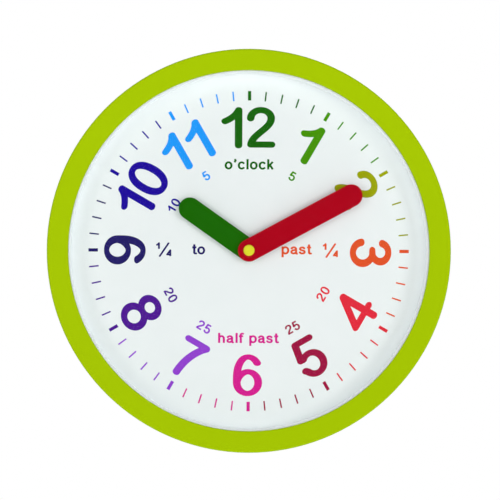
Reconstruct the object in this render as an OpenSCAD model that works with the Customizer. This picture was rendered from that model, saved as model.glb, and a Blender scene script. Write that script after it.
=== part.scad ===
// Time teaching wall clock with a round case, a printed dial, two hands and a quartz movement.
// Pieces are drawn with x right, y up to twelve o'clock and z forward from the wall, then stood upright.

/* [Case] */
// Outside diameter of the case
case_d = 260; // [230:1:320]
// Depth from the wall to the crown of the rim
case_h = 42; // [41:0.5:60]
// Width of the green band seen from the front
band_w = 13.5; // [12:0.5:20]
// Thickness of the band at its lip
band_t = 1.6; // [1.2:0.1:3]
// How far the band falls inward, from its crown at the outer edge to its lip
band_fall = 2.4; // [1:0.1:3]
// Wall of the skirt
skirt_t = 2.6; // [2:0.1:3.5]
// Radius of the band's outer edge
edge_r = 1.2; // [0.8:0.1:2]
// Radius of the band's inner edge
lip_round = 0.6; // [0.3:0.1:1]
// Number of screw posts under the band
post_n = 6; // [3:1:12]
// Diameter of a screw post
post_d = 6.4; // [6.2:0.1:7]
// Wall of the low rim that locates the lens
lens_rim_t = 1.5; // [1:0.1:1.6]

/* [Lens and dial] */
// Thickness of the clear lens
lens_t = 2; // [1:0.1:2.5]
// Gap between the centre cap and the lens
lens_clear = 2; // [1:0.1:3]
// How far the lens reaches under the band
lens_lap = 3; // [2:0.1:3.2]
// Thickness of the printed dial
dial_t = 0.5; // [0.3:0.1:1]
// Wall of the white ring between the dial and the lens
spacer_t = 2.8; // [1.5:0.1:3]
// How far the white ring shows inside the band
spacer_show = 0.3; // [0:0.1:1]

/* [Back plate] */
// Thickness of the back panel
plate_t = 2.2; // [1.5:0.1:3]
// Thickness of a stiffening rib
rib_t = 1.6; // [1:0.1:3]
// Height of the ribs behind the panel
rib_h = 4; // [2:0.1:6]
// Number of radial ribs
rib_n = 12; // [6:2:24]
// Radius of the inner ring rib
rib_ring_r = 58; // [50:1:65]
// Gap between the outer ring rib and the screw heads
rib_ring_gap = 4; // [2:0.5:10]
// Diameter of the screw threads
screw_d = 2.6; // [2:0.1:3]
// Length of the screws under their heads
screw_l = 12; // [8:0.5:14]
// Diameter of the screw heads
screw_head_d = 5; // [4:0.1:5.5]
// Height of the screw heads
screw_head_h = 1.4; // [1:0.1:1.8]

/* [Hanger] */
// How far the keyhole's entry lies below the top of the case
hanger_drop = 48; // [40:1:56]
// Gap between the wall and the hanger plate
hanger_gap = 3; // [2.5:0.1:6]
// Thickness of the hanger plate
hanger_t = 1.2; // [0.8:0.1:2]
// Width of the hanger plate
hanger_w = 44; // [42:1:60]
// Diameter of the keyhole's entry
key_d = 9; // [7:0.1:10]
// Width of the keyhole's slot
slot_d = 4.4; // [3:0.1:4.8]
// How far the slot rises above the entry
slot_rise = 8; // [7:0.5:12]
// Metal around the keyhole
hanger_margin = 4; // [3:0.5:6]
// Distance between the hanger screws
hanger_pitch = 32; // [26:1:32]
// Diameter of the posts that carry the hanger plate
hanger_post_d = 7; // [6:0.1:8]

/* [Movement] */
// Side of the square movement case
movement_w = 56; // [56:0.5:64]
// Depth of the movement case
movement_h = 16; // [16:0.1:18]
// Wall of the movement case
shell_t = 1.2; // [1:0.1:1.6]
// Corner radius of the movement case
shell_r = 2; // [1:0.1:2.5]
// Wall between the battery bay and the gear bay
partition_t = 0.8; // [0.6:0.1:1.2]
// Diameter of the threaded bush
bush_d = 8; // [7.6:0.1:9]
// Diameter of the bush's flange
bush_flange_d = 12; // [11:0.1:14]
// Thickness of the bush's flange
bush_flange_t = 1.2; // [0.8:0.1:1.5]
// Thread left showing above the nut
bush_proud = 0.4; // [0.2:0.1:0.8]
// Diameter of the rubber washer
rubber_d = 20; // [16:0.5:24]
// Thickness of the rubber washer
rubber_t = 0.8; // [0.5:0.1:1.2]
// Diameter of the brass washer
washer_d = 14; // [12:0.1:14]
// Thickness of the brass washer
washer_t = 0.5; // [0.3:0.1:0.8]
// Width of the hexagon nut across its flats
nut_af = 11.8; // [11:0.1:12]
// Height of the hexagon nut
nut_h = 2; // [1.5:0.1:2.5]
// Diameter of the setting knob
knob_d = 11; // [9:0.1:13]
// Height of the setting knob
knob_h = 2.6; // [2:0.1:3.5]
// Number of finger grooves round the knob
knob_grooves = 12; // [8:1:18]

/* [Battery] */
// Diameter of the cell
cell_d = 14.5; // [13.5:0.1:14.5]
// Length of the cell with its nub
cell_l = 50.5; // [49:0.1:50.5]
// Diameter of the positive nub
nub_d = 5.5; // [4.5:0.1:6]
// Length of the positive nub
nub_l = 1; // [0.8:0.1:1.5]
// Thickness of the contact strips
contact_t = 0.4; // [0.3:0.05:0.5]
// Width of the contact strips
contact_w = 3; // [2:0.1:3.5]

/* [Gear train] */
// Module of the motor's gear train
train_module = 0.3; // [0.28:0.005:0.3]
// Module of the gears between the minute arbor and the setting wheel
motion_module = 0.46; // [0.44:0.01:0.46]
// Thickness of a gear wheel
wheel_t = 0.8; // [0.6:0.1:0.8]
// Teeth of the small pinions
pinion_n = 8; // [8:1:8]
// Teeth of the seconds wheel
seconds_n = 48; // [40:4:48]
// Teeth of the third wheel
third_n = 64; // [56:4:64]
// Teeth of the centre wheel
centre_n = 60; // [56:4:64]
// Teeth of the intermediate wheel
intermediate_n = 40; // [36:4:40]
// Teeth of the minute arbor's pinion
cannon_n = 12; // [12:1:12]
// Teeth of the setting wheel
motion_n = 36; // [36:1:36]
// Teeth of the setting wheel's pinion
motion_pinion_n = 10; // [10:1:10]
// Teeth of the hour wheel
hour_n = 40; // [40:1:40]
// Play between the flanks of two meshed teeth
backlash = 0.08; // [0.06:0.01:0.1]
// Diameter of the seconds arbor
seconds_d = 1.2; // [1:0.05:1.2]
// Wall of the minute arbor
minute_tube_t = 0.92; // [0.8:0.02:0.92]
// Wall of the hour wheel's tube
hour_tube_t = 0.8; // [0.7:0.05:0.8]
// Diameter of the plain arbors
arbor_d = 1; // [0.8:0.05:1]
// Diameter of the arbors' end pivots
pivot_d = 0.7; // [0.5:0.05:0.7]
// Diameter of the setting stem
stem_d = 1.8; // [1.5:0.05:1.8]

/* [Motor and circuit] */
// Diameter of the rotor's magnet
magnet_d = 6; // [5:0.1:6]
// Length of the rotor's magnet
magnet_l = 3.5; // [3:0.1:4]
// Air gap between the magnet and the stator
air_gap = 0.5; // [0.3:0.05:0.6]
// Width of the stator's ring and limbs
limb_w = 3; // [2.5:0.1:3.2]
// Thickness of the stator and the coil's core
limb_t = 0.8; // [0.6:0.1:0.8]
// Diameter of the coil winding
coil_d = 6.4; // [6:0.1:6.8]
// Diameter of the bobbin's flanges
bobbin_d = 7.6; // [7:0.1:8]
// Wall of the bobbin
bobbin_t = 0.6; // [0.5:0.05:0.7]
// Width of the circuit board
board_w = 12.5; // [11:0.1:13]
// Height of the circuit board
board_h = 16.5; // [15:0.1:17]
// Thickness of the circuit board
board_t = 0.8; // [0.6:0.1:1]
// Diameter of the quartz crystal's can
crystal_d = 2; // [1.5:0.1:2.2]
// Length of the quartz crystal's can
crystal_l = 6; // [5:0.1:7]
// Diameter of the resin blob over the driver chip
chip_d = 5.5; // [4:0.1:6]
// Height of the resin blob
chip_h = 1.1; // [0.8:0.1:1.4]

/* [Hands] */
// Hour shown
show_hour = 10; // [0:1:11]
// Minute shown
show_minute = 10.25; // [0:0.25:59.75]
// Width of both hands
hand_w = 14.5; // [10:0.5:16]
// Length of the minute hand from the axis
minute_len = 83; // [60:0.5:95]
// Length of the hour hand from the axis
hour_len = 54.5; // [40:0.5:58]
// Thickness of both hands
hand_t = 1.2; // [0.8:0.1:1.4]
// Gap between the bush and the hour hand
hour_lift = 0.6; // [0.4:0.1:1]
// Gap between the two hands
hand_gap = 1.2; // [0.6:0.1:1.5]
// Diameter of the centre cap
cap_d = 7.2; // [6:0.1:9]
// Height of the centre cap
cap_h = 2.4; // [2:0.1:2.8]
// Radius of the centre cap's front edge
cap_round = 0.8; // [0.2:0.1:1.2]

/* [Fits] */
// Gap between moulded pieces that drop into one another
fit = 0.3; // [0.2:0.05:0.4]
// Gap round a screw thread or a stem
thread_fit = 0.05; // [0.02:0.01:0.1]
// Gap round an arbor or a pivot that turns
run_fit = 0.06; // [0.04:0.01:0.08]
// Gap left above and below a gear wheel
wheel_gap = 0.4; // [0.3:0.05:0.5]

/* [Hidden] */
$fn = 64;
// Overshoot that keeps a cut clear of the faces it breaks through
cut = 1;

// Levels forward from the wall, counted back from the lens through the hands to the movement
band_under_z = case_h - band_fall - band_t;
lens_z = band_under_z - lens_t;
cap_z = lens_z - lens_clear - cap_h;
minute_hand_z = cap_z - hand_t;
hour_hand_z = minute_hand_z - hand_gap - hand_t;
bush_top_z = hour_hand_z - hour_lift;
nut_z = bush_top_z - bush_proud - nut_h;
dial_front_z = nut_z - washer_t;
plate_front_z = dial_front_z - dial_t;
plate_rear_z = plate_front_z - plate_t;
movement_front_z = plate_rear_z - rubber_t;
movement_rear_z = movement_front_z - movement_h;
bay_floor_z = movement_rear_z + shell_t;
bay_roof_z = movement_front_z - shell_t;
hanger_front_z = hanger_gap + hanger_t;

// Radii of the case
case_r = case_d / 2;
hanger_y = case_r - hanger_drop;
lip_r = case_r - band_w;
skirt_in_r = case_r - skirt_t;
lens_r = lip_r + lens_lap;
spacer_in_r = lip_r - spacer_show;
spacer_out_r = spacer_in_r + spacer_t;
plate_r = skirt_in_r - fit;
// Slope of the band's front, which runs between the circles of its two edges
band_run = band_w - edge_r - lip_round;
band_drop = band_fall + lip_round - edge_r;
band_slope = atan2(band_drop, band_run) + asin((edge_r - lip_round) / norm([band_run, band_drop]));
// Screw heads clear the skirt, and the posts are wide enough to grow out of it
post_circle_r = skirt_in_r - screw_head_d / 2 - fit;
// Turn of the first screw post from three o'clock
post_turn = 30;
screw_hole_r = screw_d / 2 + thread_fit;
bush_hole_r = bush_d / 2 + thread_fit;
passage_r = bush_d / 2 + fit;

// Inside of the movement
bay_half = movement_w / 2 - shell_t;
// The battery bay takes the cell with one fit on each side
cell_y = fit + cell_d / 2 - bay_half;
cell_z = bay_roof_z - fit - cell_d / 2;
partition_y = cell_y + cell_d / 2 + fit;
// Lip of the front case that drops inside the walls of the rear case
case_lip_h = shell_t;
case_lip_z = bay_roof_z - case_lip_h;
nub_end_x = bay_half - contact_t - fit;
cell_end_x = nub_end_x - cell_l;
strip_z = bay_floor_z + 3 * wheel_t + wheel_gap;

// Tooth form
pressure = 20;
addendum = 0.8;
dedendum = 1.05;
full_depth_n = 17;

// Where the wheels stand, each from the directions and the sums of meshed teeth
third_dir = 100;
intermediate_dir = -10;
rotor_dir = 35;
motion_dir = 185;
third_at = polar(train_module * (pinion_n + third_n) / 2, third_dir);
intermediate_at = polar(train_module * (pinion_n + seconds_n) / 2, intermediate_dir);
rotor_at = intermediate_at + polar(train_module * (pinion_n + intermediate_n) / 2, rotor_dir);
motion_at = polar(motion_module * (cannon_n + motion_n) / 2, motion_dir);
// The second mesh of each pair takes the module that its fixed centre distance asks for
centre_module = train_module * (pinion_n + third_n) / (pinion_n + centre_n);
hour_module = motion_module * (cannon_n + motion_n) / (motion_pinion_n + hour_n);

// Rear faces of the wheels, counted up from the floor of the gear bay
intermediate_z = bay_floor_z + wheel_gap;
seconds_z = intermediate_z + wheel_t + wheel_gap;
third_z = seconds_z + wheel_t + 1.5 * wheel_gap;
minute_foot_z = third_z + wheel_t + 1.5 * wheel_gap;
centre_z = minute_foot_z + wheel_gap;
cannon_z = centre_z + wheel_t + 1.5 * wheel_gap;
motion_z = cannon_z + wheel_t;
hour_z = motion_z + 3 * wheel_t;

// Radii along the hands' axis
seconds_r = seconds_d / 2;
minute_in_r = seconds_r + run_fit + fit / 10;
minute_r = minute_in_r + minute_tube_t;
hour_in_r = minute_r + run_fit;
hour_r = hour_in_r + hour_tube_t;
bush_in_r = hour_r + run_fit;
minute_top_z = cap_z + fit;

// Motor limbs and coil
stator_hole_r = magnet_d / 2 + air_gap;
stator_ring_r = stator_hole_r + limb_w * 2 / 3;
stator_z = third_z + fit;
core_z = stator_z + limb_t;
coil_x = bay_half - bobbin_d / 2 - contact_t - 2 * fit;
limb_low_y = rotor_at[1];
limb_high_y = bay_half - contact_t - fit - limb_w;
bobbin_low_y = limb_low_y + max(limb_w, stator_ring_r) + fit;
bobbin_len = limb_high_y - fit - bobbin_low_y;
magnet_z = core_z - magnet_l / 2;

// Circuit board
board_z = strip_z - board_t;
board_x = -bay_half + contact_t;
board_y = bay_half - contact_t - board_h;
crystal_y = board_y + crystal_d;

hour_angle = 30 * (show_hour + show_minute / 60);
minute_angle = 6 * show_minute;

function polar(r, a) = r * [cos(a), sin(a)];

// Points along an arc about a centre
function arc(c, r, a0, a1, n = 12) = [for (i = [0 : n]) c + polar(r, a0 + (a1 - a0) * i / n)];

// Involute of an angle, in degrees
function involute(a) = tan(a) * 180 / PI - a;

// Profile shift that keeps a small pinion free of undercut
function shift(n) = n < full_depth_n ? (full_depth_n - n) / full_depth_n : 0;

// Half the angle that a tooth takes up at radius r
function tooth_half(n, m, x, r) =
    let (base = n * m * cos(pressure) / 2)
    let (slope = r > base ? acos(base / r) : 0)
    90 / n + (2 * x * tan(pressure) - backlash / 2 / m) / n * 180 / PI + involute(pressure) - involute(slope);

// Radii at which a flank is drawn, from root to tip
function flank_radii(n, m, x) =
    let (root = m * (n / 2 + x - dedendum))
    let (base = n * m * cos(pressure) / 2)
    let (tip = m * (n / 2 + x + addendum))
    let (low = max(root, base))
    root < base ? [root, base, (low + tip) / 2, tip] : [root, (low + tip) / 2, tip];

// Outline of a gear with the middle of one tooth at angle turn
function gear_points(n, m, x, turn) =
    let (radii = flank_radii(n, m, x))
    let (last = len(radii) - 1)
    [
        for (i = [0 : n - 1])
            for (side = [-1, 1])
                for (k = [0 : last])
                    let (r = radii[side < 0 ? k : last - k])
                    polar(r, turn + i * 360 / n + side * tooth_half(n, m, x, r))
    ];

// Turn of gear b that meshes with gear a, where dir points from a to b
function meshed(n_a, turn_a, n_b, dir) = dir + 180 + 180 / n_b + (dir - turn_a) * n_a / n_b;

module hang() rotate([90, 0, 0]) children();

module at(p, z = 0) translate([p[0], p[1], z]) children();

module ring_of(n, r, first = 0) {
    for (i = [0 : n - 1])
        at(polar(r, first + i * 360 / n)) children();
}

module tube(r_out, r_in, h) {
    difference() {
        cylinder(r = r_out, h = h);
        translate([0, 0, -cut]) cylinder(r = r_in, h = h + 2 * cut);
    }
}

module pinion(n, m, turn, h, x) {
    linear_extrude(h) polygon(gear_points(n, m, x, turn));
}

module rounded_square(w, r) {
    square([w, w - 2 * r], center = true);
    square([w - 2 * r, w], center = true);
    for (x = [-1, 1], y = [-1, 1])
        translate([x, y] * (w / 2 - r)) circle(r);
}

module screw(l) {
    translate([0, 0, -screw_head_h]) difference() {
        cylinder(d = screw_head_d, h = screw_head_h);
        for (a = [0, 90])
            rotate(a) cube([screw_head_d * 0.6, screw_head_h / 2, screw_head_h], center = true);
    }
    cylinder(d = screw_d, h = l);
}

// Section of the bezel: skirt, rounded outer edge, band that slopes in to the lip, and rounded lip
module bezel_section() {
    polygon(concat(
        [[skirt_in_r, 0], [case_r, 0]],
        arc([case_r - edge_r, case_h - edge_r], edge_r, 0, 90 + band_slope),
        arc([lip_r + lip_round, case_h - band_fall - lip_round], lip_round, 90 + band_slope, 180, 8),
        [[lip_r, band_under_z], [skirt_in_r, band_under_z]]
    ));
}

module bezel() {
    lens_rim_h = lens_t + fit;
    color("#A8CB08") hang() difference() {
        union() {
            rotate_extrude($fn = 180) bezel_section();
            translate([0, 0, band_under_z - lens_rim_h])
                tube(lens_r + fit + lens_rim_t, lens_r + fit, lens_rim_h, $fn = 180);
            ring_of(post_n, post_circle_r, post_turn)
                translate([0, 0, plate_front_z]) cylinder(d = post_d, h = band_under_z - plate_front_z);
        }
        ring_of(post_n, post_circle_r, post_turn)
            translate([0, 0, plate_front_z - cut]) cylinder(r = screw_hole_r, h = screw_l - plate_t + 2 * cut);
    }
}

module lens() {
    color("#DDEBF0", 0.3) hang() translate([0, 0, lens_z]) cylinder(r = lens_r, h = lens_t, $fn = 180);
}

module spacer_ring() {
    color("#F4F6F4") hang() translate([0, 0, dial_front_z])
        tube(spacer_out_r, spacer_in_r, lens_z - dial_front_z, $fn = 180);
}

module dial() {
    color("white") hang() translate([0, 0, plate_front_z]) tube(spacer_out_r, passage_r, dial_t, $fn = 180);
}

// Ribs behind the panel, rooted half way into it
module plate_ribs() {
    frame_w = movement_w + 2 * fit;
    outer_ring_r = post_circle_r - screw_head_d / 2 - rib_ring_gap;
    linear_extrude(rib_h + plate_t / 2) {
        for (r = [rib_ring_r, outer_ring_r])
            difference() {
                circle(r, $fn = 120);
                circle(r - rib_t, $fn = 120);
            }
        for (i = [0 : rib_n - 1])
            rotate((i + 0.5) * 360 / rib_n) translate([rib_ring_r - rib_t / 2, -rib_t / 2])
                square([outer_ring_r - rib_ring_r, rib_t]);
        // Square frame that keeps the movement from turning
        difference() {
            square(frame_w + 2 * rib_t, center = true);
            square(frame_w, center = true);
        }
    }
}

module back_plate() {
    color("#9DBE10") hang() difference() {
        union() {
            translate([0, 0, plate_rear_z]) cylinder(r = plate_r, h = plate_t, $fn = 180);
            translate([0, 0, plate_rear_z - rib_h]) plate_ribs();
            for (x = [-1, 1])
                at([x * hanger_pitch / 2, hanger_y], hanger_front_z)
                    cylinder(d = hanger_post_d, h = plate_rear_z - hanger_front_z + plate_t / 2);
        }
        translate([0, 0, plate_rear_z - cut]) cylinder(r = passage_r, h = plate_t + 2 * cut);
        ring_of(post_n, post_circle_r, post_turn)
            translate([0, 0, plate_rear_z - cut]) cylinder(d = screw_d + 2 * fit, h = plate_t + 2 * cut);
        for (x = [-1, 1])
            at([x * hanger_pitch / 2, hanger_y], hanger_front_z - cut)
                cylinder(r = screw_hole_r, h = screw_l - hanger_t + 2 * cut);
    }
}

module plate_screws() {
    color("silver") hang() ring_of(post_n, post_circle_r, post_turn) translate([0, 0, plate_rear_z]) screw(screw_l);
}

module hanger_plate() {
    low = key_d / 2 + hanger_margin;
    high = slot_rise + slot_d / 2 + hanger_margin;
    color("gainsboro") hang() at([0, hanger_y], hanger_gap) difference() {
        translate([-hanger_w / 2, -low, 0]) cube([hanger_w, low + high, hanger_t]);
        translate([0, 0, -cut]) {
            cylinder(d = key_d, h = hanger_t + 2 * cut);
            translate([-slot_d / 2, 0, 0]) cube([slot_d, slot_rise, hanger_t + 2 * cut]);
            at([0, slot_rise]) cylinder(d = slot_d, h = hanger_t + 2 * cut);
            for (x = [-1, 1])
                at([x * hanger_pitch / 2, 0]) cylinder(d = screw_d + 2 * fit, h = hanger_t + 2 * cut);
        }
    }
}

module hanger_screws() {
    color("silver") hang() for (x = [-1, 1])
        at([x * hanger_pitch / 2, hanger_y], hanger_gap) screw(screw_l);
}

// Open tray with the battery bay at the bottom and the gear bay above it
module movement_rear_case() {
    slot = contact_t + fit;
    color("#2B2B2D") hang() difference() {
        union() {
            translate([0, 0, movement_rear_z]) linear_extrude(bay_roof_z - movement_rear_z) difference() {
                rounded_square(movement_w, shell_r);
                square(2 * bay_half, center = true);
            }
            translate([0, 0, movement_rear_z]) linear_extrude(shell_t) rounded_square(movement_w, shell_r);
            translate([-bay_half, partition_y, movement_rear_z])
                cube([2 * bay_half, partition_t, case_lip_z - fit - movement_rear_z]);
            // Stud for the intermediate wheel, posts for the stator and the circuit board
            at(intermediate_at, movement_rear_z) cylinder(d = arbor_d, h = third_z - movement_rear_z);
            for (y = [limb_low_y + limb_w / 2, limb_high_y + limb_w / 2])
                at([coil_x, y], movement_rear_z) cylinder(d = limb_w, h = stator_z - movement_rear_z);
            for (y = [board_y + limb_w, board_y + board_h - limb_w])
                at([board_x + board_w / 2, y], movement_rear_z) cylinder(d = limb_w, h = board_z - movement_rear_z);
        }
        // Mouth of the battery bay
        translate([fit - bay_half, fit / 2 - bay_half, movement_rear_z - cut])
            cube([2 * (bay_half - fit), partition_y + bay_half - fit / 2, shell_t + cut]);
        // Passages for the contact strips through the partition
        for (x = [-bay_half, bay_half - slot])
            translate([x, partition_y - cut, strip_z - fit])
                cube([slot, partition_t + 2 * cut, contact_w + 2 * fit]);
        // Pivot holes and the hole for the setting stem
        for (p = [[0, 0], third_at, rotor_at])
            at(p, bay_floor_z - shell_t * 0.75) cylinder(d = pivot_d + 2 * run_fit, h = shell_t + cut);
        at(motion_at, movement_rear_z - cut) cylinder(d = stem_d + 2 * run_fit, h = shell_t + 2 * cut);
    }
}

module movement_front_case() {
    lip_w = 2 * (bay_half - fit / 2);
    color("#2B2B2D") hang() difference() {
        union() {
            translate([0, 0, bay_roof_z]) linear_extrude(shell_t) rounded_square(movement_w, shell_r);
            translate([0, 0, case_lip_z]) linear_extrude(case_lip_h + shell_t / 2) difference() {
                square(lip_w, center = true);
                square(lip_w - 2 * shell_t, center = true);
            }
        }
        translate([0, 0, bay_roof_z - cut]) cylinder(r = bush_hole_r, h = shell_t + 2 * cut);
        for (p = [third_at, rotor_at, motion_at])
            at(p, bay_roof_z - cut) cylinder(d = pivot_d + 2 * run_fit, h = shell_t * 0.75 + cut);
    }
}

module mounting_bush() {
    color("goldenrod") hang() difference() {
        union() {
            translate([0, 0, bay_roof_z - bush_flange_t]) cylinder(d = bush_flange_d, h = bush_flange_t);
            translate([0, 0, bay_roof_z - bush_flange_t])
                cylinder(d = bush_d, h = bush_top_z - bay_roof_z + bush_flange_t);
        }
        translate([0, 0, bay_roof_z - bush_flange_t - cut])
            cylinder(r = bush_in_r, h = bush_top_z - bay_roof_z + bush_flange_t + 2 * cut);
    }
}

module rubber_washer() {
    color("#1B1B1B") hang() translate([0, 0, movement_front_z]) tube(rubber_d / 2, passage_r, rubber_t);
}

module bush_washer() {
    color("goldenrod") hang() translate([0, 0, dial_front_z]) tube(washer_d / 2, bush_hole_r, washer_t);
}

module bush_nut() {
    color("goldenrod") hang() translate([0, 0, nut_z]) difference() {
        cylinder(r = nut_af / 2 / cos(30), h = nut_h, $fn = 6);
        translate([0, 0, -cut]) cylinder(r = bush_hole_r, h = nut_h + 2 * cut);
    }
}

module setting_knob() {
    color("#2B2B2D") hang() at(motion_at, movement_rear_z - wheel_gap - knob_h) difference() {
        cylinder(d = knob_d, h = knob_h);
        translate([0, 0, -cut]) {
            cylinder(d = stem_d, h = knob_h + 2 * cut);
            ring_of(knob_grooves, knob_d / 2) cylinder(d = knob_d / 8, h = knob_h + 2 * cut, $fn = 24);
        }
    }
}

module battery() {
    color("#3E4A52") hang() translate([cell_end_x, cell_y, cell_z]) rotate([0, 90, 0]) {
        cylinder(d = cell_d, h = cell_l - nub_l);
        cylinder(d = nub_d, h = cell_l);
    }
}

// Plate behind the nub, with a strip that runs round two walls to the top edge of the circuit board
module positive_contact() {
    half = bay_half - contact_t;
    color("silver") hang() {
        translate([half, cell_y - nub_d / 2, cell_z - nub_d / 2]) cube([contact_t, nub_d, nub_d]);
        translate([half, cell_y, strip_z]) cube([contact_t, bay_half - cell_y, contact_w]);
        translate([board_x + board_w - contact_w, half, strip_z])
            cube([bay_half - board_x - board_w + contact_w, contact_t, contact_w]);
    }
}

// Folded leaf behind the flat end of the cell, with a strip to the side of the circuit board
module negative_contact() {
    reach = cell_end_x + bay_half - fit;
    leaf = cell_d * 0.6;
    bend = 2 * contact_t;
    color("silver") hang() {
        translate([-bay_half, cell_y + nub_d / 2, cell_z - leaf / 2]) rotate([90, 0, 0])
            linear_extrude(nub_d) polygon([
                [0, 0], [contact_t, 0], [reach, leaf / 2], [contact_t, leaf], [0, leaf],
                [0, leaf - bend], [reach - contact_t, leaf / 2], [0, bend]
            ]);
        translate([-bay_half, cell_y - nub_d / 2, cell_z - leaf / 2]) cube([contact_t, nub_d, leaf]);
        translate([-bay_half, cell_y, strip_z]) cube([contact_t, board_y + contact_w - cell_y, contact_w]);
    }
}

module circuit_board() {
    color("seagreen") hang() translate([board_x, board_y, board_z]) cube([board_w, board_h, board_t]);
}

module quartz_crystal() {
    color("gainsboro") hang()
        translate([board_x + (board_w - crystal_l) / 2, crystal_y, board_z + board_t + crystal_d / 2 + thread_fit])
            rotate([0, 90, 0]) cylinder(d = crystal_d, h = crystal_l);
}

// Low dome of resin: the part of a ball that stands above the board
module driver_chip() {
    ball_r = (chip_d * chip_d / 4 + chip_h * chip_h) / (2 * chip_h);
    color("#202020") hang() at([board_x + board_w / 2, board_y + board_h * 0.6], board_z + board_t)
        intersection() {
            translate([0, 0, chip_h - ball_r]) sphere(r = ball_r);
            cylinder(d = chip_d + cut, h = chip_h + cut);
        }
}

module along_coil() {
    translate([coil_x, bobbin_low_y, core_z + limb_t / 2]) rotate([-90, 0, 0]) children();
}

// Hole of a rectangular section along the coil, grown by a gap on every side
module core_hole(gap, h) {
    translate([-limb_w / 2 - gap, -limb_t / 2 - gap, -cut]) cube([limb_w + 2 * gap, limb_t + 2 * gap, h + 2 * cut]);
}

module coil_bobbin() {
    tube_w = bobbin_t + thread_fit;
    color("ivory") hang() along_coil() difference() {
        union() {
            cylinder(d = bobbin_d, h = bobbin_t);
            translate([0, 0, bobbin_len - bobbin_t]) cylinder(d = bobbin_d, h = bobbin_t);
            translate([-limb_w / 2 - tube_w, -limb_t / 2 - tube_w, 0])
                cube([limb_w + 2 * tube_w, limb_t + 2 * tube_w, bobbin_len]);
        }
        core_hole(thread_fit, bobbin_len);
    }
}

module coil_winding() {
    color("peru") hang() along_coil() translate([0, 0, bobbin_t + thread_fit]) difference() {
        cylinder(d = coil_d, h = bobbin_len - 2 * (bobbin_t + thread_fit));
        core_hole(bobbin_t + 2 * thread_fit, bobbin_len);
    }
}

module coil_core() {
    color("gray") hang() translate([coil_x - limb_w / 2, limb_low_y, core_z])
        cube([limb_w, limb_high_y + limb_w - limb_low_y, limb_t]);
}

// Flat loop of soft iron: a ring round the rotor, one limb to each end of the coil's core
module stator() {
    limb_end_x = coil_x + limb_w / 2;
    color("gray") hang() difference() {
        union() {
            at(rotor_at, stator_z) cylinder(r = stator_ring_r, h = limb_t);
            translate([rotor_at[0], limb_low_y, stator_z]) cube([limb_end_x - rotor_at[0], limb_w, limb_t]);
            translate([rotor_at[0] - limb_w / 2, rotor_at[1], stator_z])
                cube([limb_w, limb_high_y + limb_w - rotor_at[1], limb_t]);
            translate([rotor_at[0] - limb_w / 2, limb_high_y, stator_z])
                cube([limb_end_x - rotor_at[0] + limb_w / 2, limb_w, limb_t]);
        }
        at(rotor_at, stator_z - cut) cylinder(r = stator_hole_r, h = limb_t + 2 * cut);
    }
}

// Arbor across the gear bay with a thinner pivot in each case half
module pivoted_arbor() {
    pivot_l = shell_t / 2;
    translate([0, 0, bay_floor_z + wheel_gap / 2])
        cylinder(d = arbor_d, h = bay_roof_z - bay_floor_z - wheel_gap);
    translate([0, 0, bay_floor_z - pivot_l])
        cylinder(d = pivot_d, h = bay_roof_z - bay_floor_z + 2 * pivot_l);
}

module rotor() {
    turn = meshed(intermediate_n, 0, pinion_n, rotor_dir);
    color("dimgray") hang() at(rotor_at) {
        pivoted_arbor();
        translate([0, 0, magnet_z]) cylinder(d = magnet_d, h = magnet_l);
        translate([0, 0, intermediate_z - wheel_gap / 2])
            pinion(pinion_n, train_module, turn, wheel_t + wheel_gap, shift(pinion_n));
    }
}

module intermediate_wheel() {
    turn = meshed(seconds_n, 0, pinion_n, intermediate_dir);
    color("whitesmoke") hang() at(intermediate_at, intermediate_z) difference() {
        union() {
            pinion(intermediate_n, train_module, 0, wheel_t, -shift(pinion_n));
            pinion(pinion_n, train_module, turn, 2 * wheel_t + 1.5 * wheel_gap, shift(pinion_n));
        }
        translate([0, 0, -cut]) cylinder(r = arbor_d / 2 + run_fit, h = 2 * wheel_t + 1.5 * wheel_gap + 2 * cut);
    }
}

module seconds_wheel() {
    color("whitesmoke") hang() {
        translate([0, 0, seconds_z]) {
            pinion(seconds_n, train_module, 0, wheel_t, -shift(pinion_n));
            pinion(pinion_n, train_module, 0, 2 * wheel_t + 2 * wheel_gap, shift(pinion_n));
        }
        translate([0, 0, bay_floor_z - shell_t / 2]) cylinder(d = pivot_d, h = shell_t);
        translate([0, 0, bay_floor_z + wheel_gap / 2])
            cylinder(r = seconds_r, h = minute_top_z - bay_floor_z - wheel_gap / 2);
    }
}

module third_wheel() {
    turn = meshed(pinion_n, 0, third_n, third_dir);
    color("whitesmoke") hang() at(third_at) {
        pivoted_arbor();
        translate([0, 0, third_z]) {
            pinion(third_n, train_module, turn, wheel_t, -shift(pinion_n));
            pinion(pinion_n, centre_module, 0, cannon_z - third_z, shift(pinion_n));
        }
    }
}

// Wheel that grips the minute arbor lightly and slips on it while the hands are set
module centre_wheel() {
    turn = meshed(pinion_n, 0, centre_n, third_dir + 180);
    color("whitesmoke") hang() translate([0, 0, centre_z]) difference() {
        pinion(centre_n, centre_module, turn, wheel_t, -shift(pinion_n));
        translate([0, 0, -cut]) cylinder(r = minute_r + run_fit / 2, h = wheel_t + 2 * cut);
    }
}

module minute_arbor() {
    foot_r = minute_r + minute_tube_t;
    pinion_h = hour_z - wheel_gap - cannon_z;
    color("gainsboro") hang() difference() {
        union() {
            translate([0, 0, minute_foot_z]) cylinder(r = minute_r, h = minute_top_z - minute_foot_z);
            translate([0, 0, minute_foot_z]) cylinder(r = foot_r, h = centre_z - minute_foot_z - wheel_gap / 4);
            translate([0, 0, cannon_z])
                pinion(cannon_n, motion_module, 0, pinion_h, shift(cannon_n));
        }
        translate([0, 0, minute_foot_z - cut])
            cylinder(r = minute_in_r, h = minute_top_z - minute_foot_z + 2 * cut);
    }
}

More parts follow.
